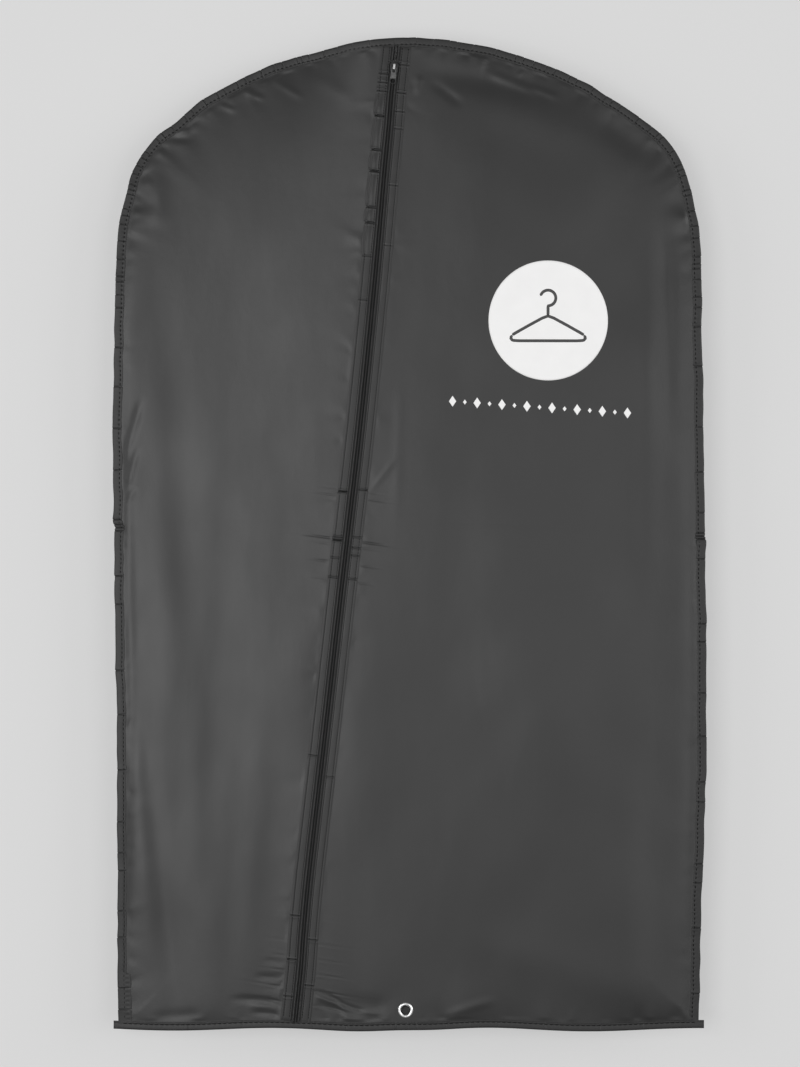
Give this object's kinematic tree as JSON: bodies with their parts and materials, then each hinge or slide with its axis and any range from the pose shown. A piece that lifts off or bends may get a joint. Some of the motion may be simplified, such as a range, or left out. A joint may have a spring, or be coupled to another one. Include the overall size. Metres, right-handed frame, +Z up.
{
  "type": "garment bag",
  "caption": "Hanging suit bag of grey film with a curved shoulder line, bound edges, a slanting full-length coil zip, a hanger opening and a metal grommet.",
  "frame": {"origin": "middle of the hanger opening, level with the top edge", "axes": "+Z up, the front faces -Y, +X to the right of a person facing the bag"},
  "size_m": [0.606, 0.0316, 1.016],
  "materials": {
    "film": "satin",
    "facing": "satin",
    "binding": "matte",
    "zip_tape": "matte",
    "zip_coil": "satin",
    "thread": "matte",
    "slider_metal": "gloss",
    "pull_metal": "satin",
    "grommet_metal": "polished"
  },
  "bodies": {
    "bag": {"back_panel": "film", "front_panel_left": "film", "front_panel_right": "film", "zip_facing_left": "facing", "zip_facing_right": "facing", "neck_binding": "binding", "edge_binding_left": "binding", "edge_binding_right": "binding", "bottom_binding": "binding", "zip_tape_left": "zip_tape", "zip_tape_right": "zip_tape", "zip_coil_left": "zip_coil", "zip_coil_right": "zip_coil", "zip_top_bartack": "thread", "grommet_eyelet": "grommet_metal", "grommet_washer": "grommet_metal"},
    "slider": {"zip_slider_body": "slider_metal"},
    "pull_tab": {"zip_pull_tab": "pull_metal"}
  },
  "joints": [
    {"name": "slider_travel", "type": "slide", "parent": "bag", "child": "slider", "axis": [-0.103, 0, -0.9947], "range_m": [0, 0.95]},
    {"name": "pull_tab_swing", "type": "hinge", "parent": "slider", "child": "pull_tab", "pos_m": [-0.01472, -0.00965, -0.03113], "axis": [-0.9947, 0, 0.103], "range_deg": [0, 165]}
  ]
}
